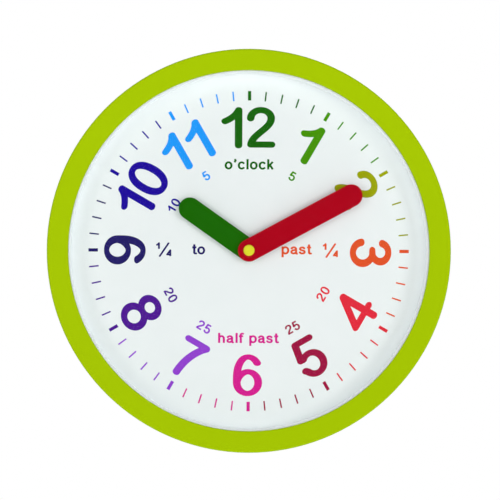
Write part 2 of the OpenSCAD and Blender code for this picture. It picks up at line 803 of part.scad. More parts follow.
// Setting wheel with its pinion and the stem that reaches the knob
module motion_wheel() {
    turn = meshed(cannon_n, 0, motion_n, motion_dir);
    stem_z = movement_rear_z - wheel_gap - knob_h;
    pinion_top_z = hour_z + 2 * wheel_t;
    color("whitesmoke") hang() at(motion_at) {
        translate([0, 0, motion_z])
            pinion(motion_n, motion_module, turn, wheel_t, -shift(cannon_n));
        translate([0, 0, motion_z])
            pinion(motion_pinion_n, hour_module, 0, pinion_top_z - motion_z, shift(motion_pinion_n));
        translate([0, 0, stem_z]) cylinder(d = stem_d, h = pinion_top_z - stem_z);
        translate([0, 0, stem_z]) cylinder(d = pivot_d, h = bay_roof_z + shell_t / 2 - stem_z);
    }
}

module hour_wheel() {
    turn = meshed(motion_pinion_n, 0, hour_n, motion_dir + 180);
    tube_h = hour_hand_z + hand_t - hour_z;
    color("whitesmoke") hang() translate([0, 0, hour_z]) difference() {
        union() {
            pinion(hour_n, hour_module, turn, wheel_t, -shift(motion_pinion_n));
            cylinder(r = hour_r, h = tube_h);
        }
        translate([0, 0, -cut]) cylinder(r = hour_in_r, h = tube_h + 2 * cut);
    }
}

// Flat hand with round ends, pointing to twelve o'clock before it is turned
module hand(length, bore_r) {
    difference() {
        union() {
            cylinder(d = hand_w, h = hand_t);
            translate([-hand_w / 2, 0, 0]) cube([hand_w, length - hand_w / 2, hand_t]);
            at([0, length - hand_w / 2]) cylinder(d = hand_w, h = hand_t);
        }
        translate([0, 0, -cut]) cylinder(r = bore_r, h = hand_t + 2 * cut);
    }
}

module hour_hand() {
    color("#216702") hang() translate([0, 0, hour_hand_z]) rotate(-hour_angle) hand(hour_len, hour_r);
}

module minute_hand() {
    color("#AA0721") hang() translate([0, 0, minute_hand_z]) rotate(-minute_angle) hand(minute_len, minute_r);
}

// Flat cap with a rounded edge, pressed on the end of the minute arbor
module centre_cap() {
    edge = arc([cap_d / 2 - cap_round, cap_h - cap_round], cap_round, 0, 90, 8);
    color("#E8E43A") hang() translate([0, 0, cap_z]) difference() {
        rotate_extrude() polygon(concat([[0, 0], [cap_d / 2, 0]], edge, [[0, cap_h]]));
        translate([0, 0, -cut]) cylinder(r = minute_r, h = minute_top_z - cap_z + fit + cut);
    }
}

bezel();
lens();
spacer_ring();
dial();
back_plate();
plate_screws();
hanger_plate();
hanger_screws();
movement_rear_case();
movement_front_case();
mounting_bush();
rubber_washer();
bush_washer();
bush_nut();
setting_knob();
battery();
positive_contact();
negative_contact();
circuit_board();
quartz_crystal();
driver_chip();
coil_bobbin();
coil_winding();
coil_core();
stator();
rotor();
intermediate_wheel();
seconds_wheel();
third_wheel();
centre_wheel();
minute_arbor();
motion_wheel();
hour_wheel();
hour_hand();
minute_hand();
centre_cap();
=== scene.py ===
import math

import bmesh
import bpy
import numpy as np
from mathutils import Matrix, Quaternion, Vector


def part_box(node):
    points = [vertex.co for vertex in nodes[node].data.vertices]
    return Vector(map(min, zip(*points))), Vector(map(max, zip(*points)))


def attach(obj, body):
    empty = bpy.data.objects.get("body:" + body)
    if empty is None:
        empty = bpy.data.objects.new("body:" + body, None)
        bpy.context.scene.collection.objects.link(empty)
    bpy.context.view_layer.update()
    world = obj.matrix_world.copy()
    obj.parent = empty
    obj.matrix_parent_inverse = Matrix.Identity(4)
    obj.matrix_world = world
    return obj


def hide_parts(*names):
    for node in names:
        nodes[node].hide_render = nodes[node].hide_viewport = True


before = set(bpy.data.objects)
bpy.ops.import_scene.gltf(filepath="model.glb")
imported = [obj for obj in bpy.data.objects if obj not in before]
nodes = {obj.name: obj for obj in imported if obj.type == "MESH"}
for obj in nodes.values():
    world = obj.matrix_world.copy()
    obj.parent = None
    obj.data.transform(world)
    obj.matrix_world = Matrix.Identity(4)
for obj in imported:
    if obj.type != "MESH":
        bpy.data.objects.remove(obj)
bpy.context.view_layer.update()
mm = 0.001

scene = bpy.context.scene
scene.view_settings.view_transform = "Standard"


def linear(hexColour):
    parts = [int(hexColour[i:i + 2], 16) / 255 for i in (1, 3, 5)]
    return [c / 12.92 if c <= 0.04045 else ((c + 0.055) / 1.055) ** 2.4 for c in parts] + [1.0]


def addNode(tree, kind, settings=None, links=None):
    node = tree.nodes.new(kind)
    for key, value in (settings or {}).items():
        if isinstance(key, int) or key in node.inputs:
            node.inputs[key].default_value = value
        else:
            setattr(node, key, value)
    for key, source in (links or {}).items():
        tree.links.new(source, node.inputs[key])
    return node


def blankMaterial(name):
    material = bpy.data.materials.new(name)
    material.use_nodes = True
    material.node_tree.nodes.clear()
    return material, material.node_tree


# The camera stood a little below the hands' axis and to the left, about 0.9 m off,
# and was held a touch askew.
cameraPlace = {
    "distance": 0.900,  # from the front of the rim
    "elevation": -1.5,
    "azimuth": -0.8,
    "roll": 0.27,
    "frameWidth": 0.3212,  # what the frame spans at the front of the rim
    "aim": (0.0005, 0.0000),
    "sensor": 36.0,  # mm
    "nearest": 0.01,
}


def placeCamera(place):
    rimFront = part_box("bezel")[0].y
    aim = Vector((place["aim"][0], rimFront, place["aim"][1]))
    up, turn = math.radians(place["elevation"]), math.radians(place["azimuth"])
    back = Vector((math.sin(turn) * math.cos(up), -math.cos(turn) * math.cos(up), math.sin(up)))
    data = bpy.data.cameras.new("camera")
    data.sensor_width = place["sensor"]
    data.lens = data.sensor_width * place["distance"] / place["frameWidth"]
    data.clip_start = place["nearest"]
    camera = bpy.data.objects.new("camera", data)
    camera.location = aim + back * place["distance"]
    camera.rotation_mode = "QUATERNION"
    camera.rotation_quaternion = ((-back).to_track_quat("-Z", "Y")
                                  @ Quaternion((0, 0, 1), math.radians(place["roll"])))
    scene.collection.objects.link(camera)
    scene.camera = camera


placeCamera(cameraPlace)
print("camera placed")


# Two soft boxes at the height of the hands, the right one stronger, so that the
# hands' shadows fall left. A polarised one behind the camera thins those shadows
# and leaves no gloss. A lit white floor shines up from below, which leaves the
# lower part of the dished rim in the shade, and the white room does the rest.
studio = {
    "room": 0.36,  # the white room's strength as the clock feels it; the camera sees 1
    "lamps": [
        {"name": "softBoxRight", "at": (1.5, -1.8, 0.0), "size": 0.9, "watts": 13.0},
        {"name": "softBoxLeft", "at": (-1.5, -1.8, 0.0), "size": 0.9, "watts": 9.5},
        {"name": "softBoxFront", "at": (0.2, -2.6, 0.05), "size": 1.4, "watts": 18.5,
         "polarised": True},
        {"name": "softBoxRear", "at": (0.4, 1.5, 0.9), "size": 1.2, "watts": 14.0},
    ],
    "floorLevel": -1.20,
    "floorReach": 6.0,
    "floorSides": 96,
    "floorCoat": "#F2F2F1",
    "floorGlow": 0.15,
    "floorSeen": 0.45,  # the floor's glow as the camera sees it, so that it stays pale
}


def lightStudio(kit):
    for lamp in kit["lamps"]:
        data = bpy.data.lights.new(lamp["name"], "AREA")
        data.shape = "DISK"
        data.size = lamp["size"]
        data.energy = lamp["watts"]
        holder = bpy.data.objects.new(lamp["name"], data)
        holder.location = lamp["at"]
        holder.visible_glossy = not lamp.get("polarised", False)
        holder.rotation_mode = "QUATERNION"
        holder.rotation_quaternion = (-Vector(lamp["at"])).to_track_quat("-Z", "Y")
        scene.collection.objects.link(holder)

    world = bpy.data.worlds.new("whiteRoom")
    world.use_nodes = True
    tree = world.node_tree
    tree.nodes.clear()
    rays = addNode(tree, "ShaderNodeLightPath")
    seen = addNode(tree, "ShaderNodeMath", {"operation": "MAXIMUM"},
                   {0: rays.outputs["Is Camera Ray"], 1: rays.outputs["Is Glossy Ray"]})
    seen = addNode(tree, "ShaderNodeMath", {"operation": "MAXIMUM"},
                   {0: seen.outputs[0], 1: rays.outputs["Is Transmission Ray"]})
    strength = addNode(tree, "ShaderNodeMapRange", {"To Min": kit["room"], "To Max": 1.0},
                       {"Value": seen.outputs[0]})
    air = addNode(tree, "ShaderNodeBackground", {"Color": linear("#FFFFFF")},
                  {"Strength": strength.outputs[0]})
    addNode(tree, "ShaderNodeOutputWorld", links={"Surface": air.outputs[0]})
    scene.world = world

    # Opal white floor with lamps under it, pale and without gloss.
    material, tree = blankMaterial("studio_floor_opal_white")
    coat = addNode(tree, "ShaderNodeBsdfDiffuse", {"Color": linear(kit["floorCoat"])})
    rays = addNode(tree, "ShaderNodeLightPath")
    shine = addNode(tree, "ShaderNodeMapRange",
                    {"To Min": kit["floorGlow"], "To Max": kit["floorSeen"]},
                    {"Value": rays.outputs["Is Camera Ray"]})
    glow = addNode(tree, "ShaderNodeEmission", {"Color": linear("#FFFFFF")},
                   {"Strength": shine.outputs[0]})
    both = addNode(tree, "ShaderNodeAddShader", links={0: coat.outputs[0], 1: glow.outputs[0]})
    addNode(tree, "ShaderNodeOutputMaterial", links={"Surface": both.outputs[0]})
    shape = bmesh.new()
    bmesh.ops.create_circle(shape, cap_ends=True, segments=kit["floorSides"],
                            radius=kit["floorReach"])
    mesh = bpy.data.meshes.new("floor")
    shape.to_mesh(mesh)
    shape.free()
    floor = bpy.data.objects.new("floor", mesh)
    floor.location = (0, 0, kit["floorLevel"])
    mesh.materials.append(material)
    scene.collection.objects.link(floor)


lightStudio(studio)
print("studio lit")


# What the plain finishes share: how fine their two noises are, the span that the
# grain's noise really fills, and how hard it dents where a finish doesn't say.
finishBase = {"driftDetail": 3.0, "grainDetail": 2.0, "grainSpan": (0.3, 0.7), "relief": 0.2,
              "stretch": (1, 1, 1)}


# Every plain finish is two close colours that drift into each other over
# "drift" millimetres, with a surface grain of "grain" millimetres that dents
# the surface by "depth" and spreads its gloss. Most real grain is finer, and is
# drawn coarser so that it shows.
def surfaceFinish(ownLook):
    look = {**finishBase, **ownLook}
    material, tree = blankMaterial(look["name"])
    place = addNode(tree, "ShaderNodeTexCoord")
    stretch = addNode(tree, "ShaderNodeMapping", {"Scale": look["stretch"]},
                      {"Vector": place.outputs["Object"]})
    drift = addNode(tree, "ShaderNodeTexNoise",
                    {"Scale": 1 / (look["drift"] * mm), "Detail": look["driftDetail"]},
                    {"Vector": place.outputs["Object"]})
    grain = addNode(tree, "ShaderNodeTexNoise",
                    {"Scale": 1 / (look["grain"] * mm), "Detail": look["grainDetail"]},
                    {"Vector": stretch.outputs[0]})
    tint = addNode(tree, "ShaderNodeMix",
                   {"data_type": "RGBA", 6: linear(look["colour"]), 7: linear(look["shade"])},
                   {0: drift.outputs[0]})
    gloss = addNode(tree, "ShaderNodeMapRange",
                    {"From Min": look["grainSpan"][0], "From Max": look["grainSpan"][1],
                     "To Min": look["gloss"][0], "To Max": look["gloss"][1]},
                    {"Value": grain.outputs[0]})
    dent = addNode(tree, "ShaderNodeBump",
                   {"Strength": look["relief"], "Distance": look["depth"] * mm},
                   {"Height": grain.outputs[0]})
    skin = addNode(tree, "ShaderNodeBsdfPrincipled", look["skin"],
                   {"Base Color": tint.outputs[2], "Roughness": gloss.outputs[0],
                    "Normal": dent.outputs[0]})
    addNode(tree, "ShaderNodeOutputMaterial", links={"Surface": skin.outputs[0]})
    return material


finishes = {
    # ABS from a satin mould: an even lime green with a soft sheen.
    "bezel": {
        "name": "abs_lime_satin_moulded", "colour": "#A3C200", "shade": "#A0BF00",
        "drift": 40, "grain": 0.6, "gloss": (0.4, 0.5), "depth": 0.02,
        "skin": {"IOR": 1.52, "Specular IOR Level": 0.03},
    },
    # The same ABS from a spark-eroded mould: a dull, pebbled back.
    "back_plate": {
        "name": "abs_lime_eroded_moulded", "colour": "#A3C40A", "shade": "#98B806",
        "drift": 30, "grain": 0.9, "gloss": (0.55, 0.7), "depth": 0.06, "relief": 0.35,
        "skin": {"IOR": 1.52},
    },
    # Polystyrene ring, white and a little shiny, with a faint glow of its own painted in:
    # painted light that brightens the ring's wall.
    "spacer_ring": {
        "name": "polystyrene_white_painted_glow", "colour": "#F9FDFF", "shade": "#F3F9FC",
        "drift": 25, "grain": 0.7, "gloss": (0.4, 0.5), "depth": 0.01,
        # the emission is painted light, a glow on a part that is no lamp
        "skin": {"IOR": 1.55, "Emission Strength": 0.07},
    },
    # Coated card: matt, cool white, with the faint cloudiness of paper.
    "dial": {
        "name": "card_coated_matt", "colour": "#F3F9F9", "shade": "#EEF5F5",
        "drift": 14, "grain": 0.8, "gloss": (0.75, 0.85), "depth": 0.008, "relief": 0.1,
        "skin": {"IOR": 1.45, "Specular IOR Level": 0.2},
    },
    # Zinc-plated sheet: bluish grey with the crystals' patchy sheen.
    "hanger_plate": {
        "name": "steel_zinc_plated_sheet", "colour": "#B4B9BC", "shade": "#8F9599",
        "drift": 3, "grain": 0.9, "gloss": (0.28, 0.45), "depth": 0.01,
        "skin": {"Metallic": 1.0},
    },
    # The same zinc on screws: finer patches and a little more shine.
    "plate_screws": {
        "name": "steel_zinc_plated_screw", "colour": "#AEB3B6", "shade": "#90969A",
        "drift": 2, "grain": 0.5, "gloss": (0.25, 0.4), "depth": 0.01,
        "skin": {"Metallic": 1.0},
    },
    # Black ABS with the fine matt texture that hides fingerprints.
    "movement_rear_case": {
        "name": "abs_black_eroded_moulded", "colour": "#1B1C1E", "shade": "#232427",
        "drift": 12, "grain": 0.5, "gloss": (0.42, 0.6), "depth": 0.03, "relief": 0.3,
        "skin": {"IOR": 1.52},
    },
    # Turned brass, bright along the turning lines.
    "mounting_bush": {
        "name": "brass_turned", "colour": "#C9A24A", "shade": "#B48C38",
        "drift": 4, "grain": 0.5, "stretch": (1, 6, 1), "gloss": (0.22, 0.36), "depth": 0.008,
        "skin": {"Metallic": 1.0},
    },
    # Nitrile rubber, dull black.
    "rubber_washer": {
        "name": "nitrile_rubber_moulded", "colour": "#17181A", "shade": "#202124",
        "drift": 4, "grain": 0.4, "gloss": (0.7, 0.85), "depth": 0.02,
        "skin": {"IOR": 1.52},
    },
    # Setting knob: white polystyrene, slightly yellowed by handling.
    "setting_knob": {
        "name": "polystyrene_knob_moulded", "colour": "#ECEBE4", "shade": "#E2E0D6",
        "drift": 5, "grain": 0.5, "gloss": (0.38, 0.5), "depth": 0.015,
        "skin": {"IOR": 1.55},
    },
    # Nickel-plated phosphor bronze strip: a warm, smooth grey with faint rolling lines.
    "positive_contact": {
        "name": "bronze_nickel_plated_strip", "colour": "#C3BFB5", "shade": "#A9A498",
        "drift": 3, "grain": 0.3, "stretch": (1, 1, 8), "gloss": (0.2, 0.32), "depth": 0.006,
        "skin": {"Metallic": 1.0},
    },
    # Glass-fibre board under solder mask: a smooth, deep green.
    "circuit_board": {
        "name": "fibre_board_green_mask", "colour": "#1F6B3A", "shade": "#185A30",
        "drift": 2, "grain": 0.4, "gloss": (0.3, 0.42), "depth": 0.01,
        "skin": {"IOR": 1.5},
    },
    # Drawn nickel can of the crystal: a bright, smooth grey.
    "quartz_crystal": {
        "name": "nickel_can_drawn", "colour": "#C6C8CA", "shade": "#AEB1B4",
        "drift": 2, "grain": 0.3, "gloss": (0.18, 0.3), "depth": 0.005,
        "skin": {"Metallic": 1.0},
    },
    # Blob of epoxy that set with a shiny black skin.
    "driver_chip": {
        "name": "epoxy_black_poured", "colour": "#0F0F11", "shade": "#17171A",
        "drift": 2, "grain": 0.8, "gloss": (0.12, 0.25), "depth": 0.02,
        "skin": {"IOR": 1.55},
    },
    # Undyed nylon: creamy, with a waxy sheen.
    "coil_bobbin": {
        "name": "nylon_natural_moulded", "colour": "#E4DFCE", "shade": "#D9D3BF",
        "drift": 3, "grain": 0.4, "gloss": (0.45, 0.55), "depth": 0.01,
        "skin": {"IOR": 1.53},
    },
    # Annealed iron, grey and dull from the furnace.
    "coil_core": {
        "name": "iron_soft_annealed", "colour": "#8C8984", "shade": "#6F6C68",
        "drift": 2, "grain": 0.4, "gloss": (0.4, 0.55), "depth": 0.01,
        "skin": {"Metallic": 1.0},
    },
    # Sintered ferrite, dark with a fine sandy break.
    "rotor": {
        "name": "ferrite_sintered", "colour": "#3A3A3C", "shade": "#2C2C2E",
        "drift": 2, "grain": 0.3, "gloss": (0.5, 0.65), "depth": 0.02,
        "skin": {"IOR": 2.0},
    },
    # Acetal gears, milky white and waxy.
    "seconds_wheel": {
        "name": "acetal_gear_moulded", "colour": "#EEEDE6", "shade": "#E5E3DA",
        "drift": 3, "grain": 0.4, "gloss": (0.35, 0.45), "depth": 0.01,
        "skin": {"IOR": 1.48},
    },
    # Turned steel, bright, with fine turning lines round it.
    "minute_arbor": {
        "name": "steel_turned_arbor", "colour": "#B9BBBD", "shade": "#A2A5A8",
        "drift": 2, "grain": 0.3, "stretch": (1, 8, 1), "gloss": (0.2, 0.3), "depth": 0.005,
        "skin": {"Metallic": 1.0},
    },
    # Stove enamel on aluminium: flat colour with a soft bloom, here green.
    "hour_hand": {
        "name": "enamel_green_on_aluminium", "colour": "#196800", "shade": "#166400",
        "drift": 12, "grain": 0.5, "gloss": (0.42, 0.52), "depth": 0.01,
        "skin": {"IOR": 1.5, "Specular IOR Level": 0.02},
    },
    # The same enamel in red.
    "minute_hand": {
        "name": "enamel_red_on_aluminium", "colour": "#B2001A", "shade": "#AB0017",
        "drift": 12, "grain": 0.5, "gloss": (0.42, 0.52), "depth": 0.01,
        "skin": {"IOR": 1.5, "Specular IOR Level": 0.02},
    },
    # ABS from a satin mould: a clear yellow with little gloss.
    "centre_cap": {
        "name": "abs_yellow_moulded", "colour": "#E5E330", "shade": "#DEDC2C",
        "drift": 5, "grain": 0.5, "gloss": (0.4, 0.5), "depth": 0.01,
        "skin": {"IOR": 1.52, "Specular IOR Level": 0.1},
    },
}

# Pieces that share another piece's finish.
sameFinish = {
    "plate_screws": ["hanger_screws"],
    "movement_rear_case": ["movement_front_case"],
    "mounting_bush": ["bush_washer", "bush_nut"],
    "positive_contact": ["negative_contact"],
    "coil_core": ["stator"],
    "seconds_wheel": ["intermediate_wheel", "third_wheel", "centre_wheel", "motion_wheel",
                      "hour_wheel"],
}


def dress(name, material):
    for slot in nodes[name].material_slots:
        slot.material = material


finishMade = {}
for name, look in finishes.items():
    finishMade[name] = surfaceFinish(look)
    for other in [name] + sameFinish.get(name, []):
        dress(other, finishMade[name])


# Cast acrylic: all but invisible from the front, with a thin gloss that faint scuffs break.
lensLook = {
    "colour": "#101414", "alpha": 0.03, "ior": 1.49,
    "gloss": (0.03, 0.09), "scuff": 6.0, "scuffDetail": 4.0,
    "airGap": 0.03,
}


def acrylicLens(look):
    material, tree = blankMaterial("acrylic_clear_cast")
    place = addNode(tree, "ShaderNodeTexCoord")
    scuff = addNode(tree, "ShaderNodeTexNoise",
                    {"Scale": 1 / (look["scuff"] * mm), "Detail": look["scuffDetail"]},
                    {"Vector": place.outputs["Object"]})
    gloss = addNode(tree, "ShaderNodeMapRange",
                    {"To Min": look["gloss"][0], "To Max": look["gloss"][1]},
                    {"Value": scuff.outputs[0]})
    skin = addNode(tree, "ShaderNodeBsdfPrincipled",
                   {"Base Color": linear(look["colour"]), "IOR": look["ior"], "Alpha": look["alpha"]},
                   {"Roughness": gloss.outputs[0]})
    addNode(tree, "ShaderNodeOutputMaterial", links={"Surface": skin.outputs[0]})
    return material


dress("lens", acrylicLens(lensLook))
# a hair of air, so the lens and the ring that it lies on don't share a face
airGap = nodes["lens"].modifiers.new("airGap", "DISPLACE")
airGap.mid_level = 0
airGap.strength = -lensLook["airGap"] * mm


# Enamelled copper wire wound in layers: fine rings round the bobbin, copper on the turns with painted
# shade in the grooves between them.
windingLook = {
    "wire": 0.4,  # real wire is about 0.1 mm, drawn coarser to show
    "wave": 0.314,  # what one wave of the pattern spans at scale 1
    "ripple": 0.6,
    # "shade" here is painted shade for the grooves between the turns; "colour" is the copper's own
    "colour": "#B5632A", "shade": "#7E3E17",
    "relief": 0.6, "depth": 0.1,
    "skin": {"Metallic": 1.0, "Roughness": 0.3},
}


def copperWinding(look):
    material, tree = blankMaterial("copper_wire_wound")
    place = addNode(tree, "ShaderNodeTexCoord")
    rings = addNode(tree, "ShaderNodeTexWave",
                    {"bands_direction": "Z", "Scale": look["wave"] / (look["wire"] * mm),
                     "Distortion": look["ripple"]},
                    {"Vector": place.outputs["Object"]})
    # the rings' dark part is painted shade in the grooves between the turns
    tint = addNode(tree, "ShaderNodeMix",
                   {"data_type": "RGBA", 6: linear(look["shade"]), 7: linear(look["colour"])},
                   {0: rings.outputs[1]})
    dent = addNode(tree, "ShaderNodeBump",
                   {"Strength": look["relief"], "Distance": look["depth"] * mm},
                   {"Height": rings.outputs[1]})
    skin = addNode(tree, "ShaderNodeBsdfPrincipled", look["skin"],
                   {"Base Color": tint.outputs[2], "Normal": dent.outputs[0]})
    addNode(tree, "ShaderNodeOutputMaterial", links={"Surface": skin.outputs[0]})
    return material


dress("coil_winding", copperWinding(windingLook))


# Shrunk vinyl sleeve on the cell: dark body, a bronze band at the positive end
# and bare nickel steel at both ends.
sleeveLook = {
    "body": "#1E1F22", "band": "#A8733A", "steel": "#B9BABB",
    "bandFrom": 0.70, "bareEnds": 0.028,  # shares of the cell's length
    "scuff": 1.5, "scuffDetail": 3.0, "gloss": (0.22, 0.42), "relief": 0.15, "depth": 0.03,
    "skin": {"Metallic": 0.35, "IOR": 1.54},
}


def cellSleeve(look):
    low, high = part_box("battery")
    material, tree = blankMaterial("vinyl_sleeve_shrunk")
    place = addNode(tree, "ShaderNodeTexCoord")
    axes = addNode(tree, "ShaderNodeSeparateXYZ", links={0: place.outputs["Object"]})
    along = addNode(tree, "ShaderNodeMapRange", {"From Min": low.x, "From Max": high.x},
                    {"Value": axes.outputs["X"]})
    ramp = addNode(tree, "ShaderNodeValToRGB", links={0: along.outputs[0]})
    ramp.color_ramp.interpolation = "CONSTANT"
    stops = [(0.0, "steel"), (look["bareEnds"], "body"), (look["bandFrom"], "band"),
             (1 - look["bareEnds"], "steel")]
    colours = ramp.color_ramp.elements
    colours.remove(colours[1])
    for index, (share, key) in enumerate(stops):
        stop = colours[0] if index == 0 else colours.new(share)
        stop.position = share
        stop.color = linear(look[key])
    scuff = addNode(tree, "ShaderNodeTexNoise",
                    {"Scale": 1 / (look["scuff"] * mm), "Detail": look["scuffDetail"]},
                    {"Vector": place.outputs["Object"]})
    gloss = addNode(tree, "ShaderNodeMapRange",
                    {"To Min": look["gloss"][0], "To Max": look["gloss"][1]},
                    {"Value": scuff.outputs[0]})
    dent = addNode(tree, "ShaderNodeBump",
                   {"Strength": look["relief"], "Distance": look["depth"] * mm},
                   {"Height": scuff.outputs[0]})
    skin = addNode(tree, "ShaderNodeBsdfPrincipled", look["skin"],
                   {"Base Color": ramp.outputs[0], "Roughness": gloss.outputs[0],
                    "Normal": dent.outputs[0]})
    addNode(tree, "ShaderNodeOutputMaterial", links={"Surface": skin.outputs[0]})
    return material


dress("battery", cellSleeve(sleeveLook))
print("finishes on", len(nodes), "nodes")


# Outlines are worked out in millimetres on the dial, x right and y up,
# and stood up against the dial's front at the end.
outlineMesh = {"roundingSteps": 3, "weld": 0.001}  # weld in millimetres too


def filledMesh(name, loops, thick, rounding=0.0):
    data = bpy.data.curves.new(name, "CURVE")
    data.dimensions = "2D"
    data.fill_mode = "BOTH"
    data.extrude = thick / 2 - rounding
    data.bevel_depth = rounding
    data.bevel_resolution = outlineMesh["roundingSteps"]
    data.offset = -rounding
    for loop in loops:
        spline = data.splines.new("POLY")
        spline.points.add(len(loop) - 1)
        for point, (x, y) in zip(spline.points, loop):
            point.co = (x, y, 0, 1)
        spline.use_cyclic_u = True
    holder = bpy.data.objects.new(name, data)
    scene.collection.objects.link(holder)
    bpy.context.view_layer.update()
    solid = holder.evaluated_get(bpy.context.evaluated_depsgraph_get())
    mesh = bpy.data.meshes.new_from_object(solid)
    bpy.data.objects.remove(holder)
    shape = bmesh.new()
    shape.from_mesh(mesh)
    bmesh.ops.remove_doubles(shape, verts=shape.verts, dist=outlineMesh["weld"])
    bmesh.ops.recalc_face_normals(shape, faces=shape.faces)
    shape.to_mesh(mesh)
    shape.free()
    return mesh


def standUp(name, mesh, back, material):
    # the back of the mesh goes to the depth "back", its front towards the reader
    lowest = min(v.co.z for v in mesh.vertices)
    mesh.transform(Matrix.Translation((0, 0, -lowest)))
    mesh.transform(Matrix.Rotation(math.radians(90), 4, "X"))
    mesh.transform(Matrix.Scale(mm, 4))
    mesh.transform(Matrix.Translation((0, back, 0)))
    mesh.materials.clear()
    mesh.materials.append(material)
    piece = bpy.data.objects.new(name, mesh)
    scene.collection.objects.link(piece)
    return piece


# Hands are punched from sheet, so their edges are slightly rounded over. Their
# angles, clockwise from 12, are the ones that they stand at in the CAD.
handCuts = {
    "hour_hand": {"length": 54.5, "width": 14.5, "angle": 305.125, "bore": 2.47,
                  "body": "hour_hand_body", "slot": "green_hand"},
    "minute_hand": {"length": 83.0, "width": 14.5, "angle": 61.5, "bore": 1.61,
                    "body": "minute_hand_body", "slot": "red_hand"},
}
handEdge = {"rounding": 0.1, "steps": 40}


def cutHand(name, cut, edge):
    low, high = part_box(name)
    half = cut["width"] / 2
    outline = []
    for step in range(edge["steps"] + 1):
        a = math.pi * step / edge["steps"]
        outline.append((half * math.cos(a), cut["length"] - half + half * math.sin(a)))
    for step in range(edge["steps"] + 1):
        a = math.pi + math.pi * step / edge["steps"]
        outline.append((half * math.cos(a), half * math.sin(a)))
    bore = [(cut["bore"] * math.cos(a), cut["bore"] * math.sin(a))
            for a in np.linspace(0, 2 * math.pi, edge["steps"], endpoint=False)]
    mesh = filledMesh(name + "_punched", [outline, bore], (high.y - low.y) / mm, edge["rounding"])
    mesh.transform(Matrix.Rotation(-math.radians(cut["angle"]), 4, "Z"))
    piece = standUp(name + "_punched", mesh, high.y, finishMade[name])
    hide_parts(name)
    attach(piece, cut["body"])


for name, cut in handCuts.items():
    cutHand(name, cut, handEdge)
print("hands cut")


# The print: round-ended numerals drawn by an oval nib, and small bold words.
pen = {
    "arcStep": 7,  # degrees from point to point of an arc
    "arcFewest": 8,
    "bendSteps": 14,
    "far": 9.0,  # what the field holds, in nibs, where no stroke is near
    "hair": 1e-6,  # lengths below this count as none
    "slack": 0.12,  # how far an outline may be straightened, in cells of the field
}


def arcPath(cx, cy, rx, ry, start, end, fullness=2.0):
    count = max(pen["arcFewest"], int(abs(end - start) / pen["arcStep"]))
    path = []
    for step in range(count + 1):
        a = math.radians(start + (end - start) * step / count)
        c, s = math.cos(a), math.sin(a)
        path.append((cx + rx * math.copysign(abs(c) ** (2 / fullness), c),
                     cy + ry * math.copysign(abs(s) ** (2 / fullness), s)))
    return path


def bendPath(a, b, c, d):
    path = []
    for step in range(pen["bendSteps"] + 1):
        t = step / pen["bendSteps"]
        u = 1 - t
        path.append(tuple(u ** 3 * p + 3 * u * u * t * q + 3 * u * t * t * r + t ** 3 * s
                          for p, q, r, s in zip(a, b, c, d)))
    return path


# Centre lines of the numerals, 27.3 mm high in print, about their own middles.
sixPaths = [arcPath(0, -4.8, 7.0, 7.1, -180, 90) + arcPath(0, -4.8, 7.0, 7.1, 90, 180, 1.7),
            arcPath(0.3, 3.5, 7.0, 8.4, 31, 90) + arcPath(0.3, -1.6, 7.3, 13.5, 92, 180, 2.1)
            + [(-7.0, -4.8)]]
digitPaths = {
    "0": [arcPath(0, 0, 6.9, 11.6, 0, 360, 2.2)],
    "1": [[(0, -11.6), (0, 11.5)] + bendPath((0, 11.5), (-1.5, 8.3), (-4.6, 6.0), (-8.9, 4.2))],
    "2": [arcPath(-0.15, 6.2, 6.75, 5.45, 180, 0)
          + bendPath((6.6, 6.2), (6.6, -0.4), (-5.9, -4.2), (-6.7, -11.05)) + [(6.9, -11.05)]],
    "3": [arcPath(-0.2, 6.4, 6.0, 5.25, 168, -75) + [(-1.5, 1.15)],
          [(-1.5, 1.15)] + arcPath(0, -5.2, 6.9, 6.4, 80, -173)],
    "4": [[(4.55, -11.8), (4.55, 11.8), (-8.3, -5.5), (8.4, -5.5)]],
    "5": [[(5.8, 11.4), (-4.7, 11.4), (-6.4, 0.6)] + arcPath(0.2, -4.45, 6.7, 7.0, 135, -152)
          + [(-6.9, -6.6)]],
    "6": sixPaths,
    "7": [[(-6.7, 11.4), (6.7, 11.4)]
          + bendPath((6.7, 11.0), (1.8, 6.6), (-2.4, -1.8), (-2.85, -11.5))],
    "8": [arcPath(0, 6.4, 6.1, 5.35, 0, 360), arcPath(0, -5.4, 6.95, 6.4, 0, 360)],
    "9": [[(-x, -y) for x, y in path] for path in sixPaths],
}
